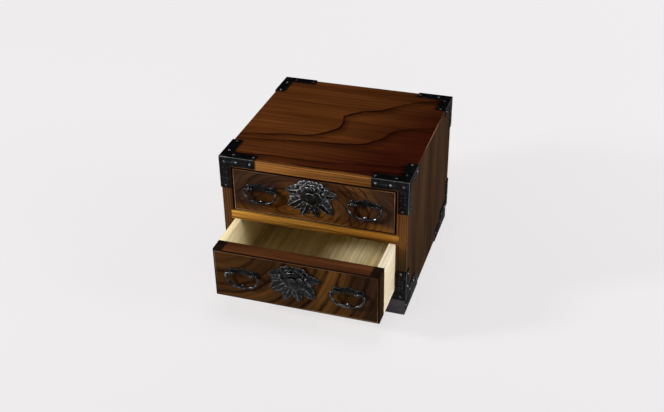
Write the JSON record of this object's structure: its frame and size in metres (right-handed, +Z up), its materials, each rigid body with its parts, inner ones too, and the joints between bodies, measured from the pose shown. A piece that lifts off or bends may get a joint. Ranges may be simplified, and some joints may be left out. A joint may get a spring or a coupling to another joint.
{
  "type": "tansu chest",
  "caption": "Small wooden chest with sliding drawers, iron corner fittings, bail handles and cast peony ornaments.",
  "frame": {"origin": "on the floor under the middle of the carcase", "axes": "+Z up, +X to the right of someone who faces the front; the drawers open towards -Y"},
  "size_m": [0.3058, 0.4099, 0.2439],
  "materials": {
    "stained_wood": "thin lacquer over stain, satin",
    "golden_wood": "thin lacquer over stain, satin",
    "plain_wood": "bare wood, matt",
    "black_iron": "black lacquered sheet iron, satin",
    "cast_iron": "black, satin"
  },
  "bodies": {
    "carcase": {"top_board": "stained_wood", "bottom_board": "stained_wood", "left_side_board": "stained_wood", "right_side_board": "stained_wood", "back_panel": "stained_wood", "mid_rail": "golden_wood", "left_runner": "plain_wood", "right_runner": "plain_wood", "dust_shelf": "plain_wood", "plinth_front": "stained_wood", "plinth_back": "stained_wood", "plinth_left": "stained_wood", "plinth_right": "stained_wood", "top_iron_front_left": "black_iron", "top_iron_front_right": "black_iron", "top_iron_back_left": "black_iron", "top_iron_back_right": "black_iron", "bottom_iron_front_left": "black_iron", "bottom_iron_front_right": "black_iron", "bottom_iron_back_left": "black_iron", "bottom_iron_back_right": "black_iron", "plinth_iron_front_left": "black_iron", "plinth_iron_front_right": "black_iron", "plinth_iron_back_left": "black_iron", "plinth_iron_back_right": "black_iron", "top_nails": "black_iron", "bottom_nails": "black_iron", "plinth_nails": "black_iron"},
    "upper_drawer": {"upper_drawer_front": "stained_wood", "upper_drawer_left_side": "plain_wood", "upper_drawer_right_side": "plain_wood", "upper_drawer_back": "plain_wood", "upper_drawer_floor": "plain_wood", "upper_ornament": "cast_iron", "upper_left_plate": "black_iron", "upper_right_plate": "black_iron", "upper_left_posts": "black_iron", "upper_right_posts": "black_iron", "upper_studs": "black_iron"},
    "upper_left_handle": {"upper_left_bail": "black_iron"},
    "upper_right_handle": {"upper_right_bail": "black_iron"},
    "lower_drawer": {"lower_drawer_front": "stained_wood", "lower_drawer_left_side": "plain_wood", "lower_drawer_right_side": "plain_wood", "lower_drawer_back": "plain_wood", "lower_drawer_floor": "plain_wood", "lower_ornament": "cast_iron", "lower_left_plate": "black_iron", "lower_right_plate": "black_iron", "lower_left_posts": "black_iron", "lower_right_posts": "black_iron", "lower_studs": "black_iron"},
    "lower_left_handle": {"lower_left_bail": "black_iron"},
    "lower_right_handle": {"lower_right_bail": "black_iron"}
  },
  "joints": [
    {"name": "upper_drawer_slide", "type": "slide", "parent": "carcase", "child": "upper_drawer", "axis": [0, -1, 0], "range_m": [0, 0.2]},
    {"name": "lower_drawer_slide", "type": "slide", "parent": "carcase", "child": "lower_drawer", "axis": [0, -1, 0], "range_m": [-0.09, 0.11]},
    {"name": "upper_left_handle_hinge", "type": "hinge", "parent": "upper_drawer", "child": "upper_left_handle", "pos_m": [-0.0841, -0.1593, 0.1945], "axis": [-1, 0, 0], "range_deg": [0, 185]},
    {"name": "upper_right_handle_hinge", "type": "hinge", "parent": "upper_drawer", "child": "upper_right_handle", "pos_m": [0.0841, -0.1593, 0.1945], "axis": [-1, 0, 0], "range_deg": [0, 185]},
    {"name": "lower_left_handle_hinge", "type": "hinge", "parent": "lower_drawer", "child": "lower_left_handle", "pos_m": [-0.0841, -0.2493, 0.0965], "axis": [-1, 0, 0], "range_deg": [0, 185]},
    {"name": "lower_right_handle_hinge", "type": "hinge", "parent": "lower_drawer", "child": "lower_right_handle", "pos_m": [0.0841, -0.2493, 0.0965], "axis": [-1, 0, 0], "range_deg": [0, 185]}
  ]
}
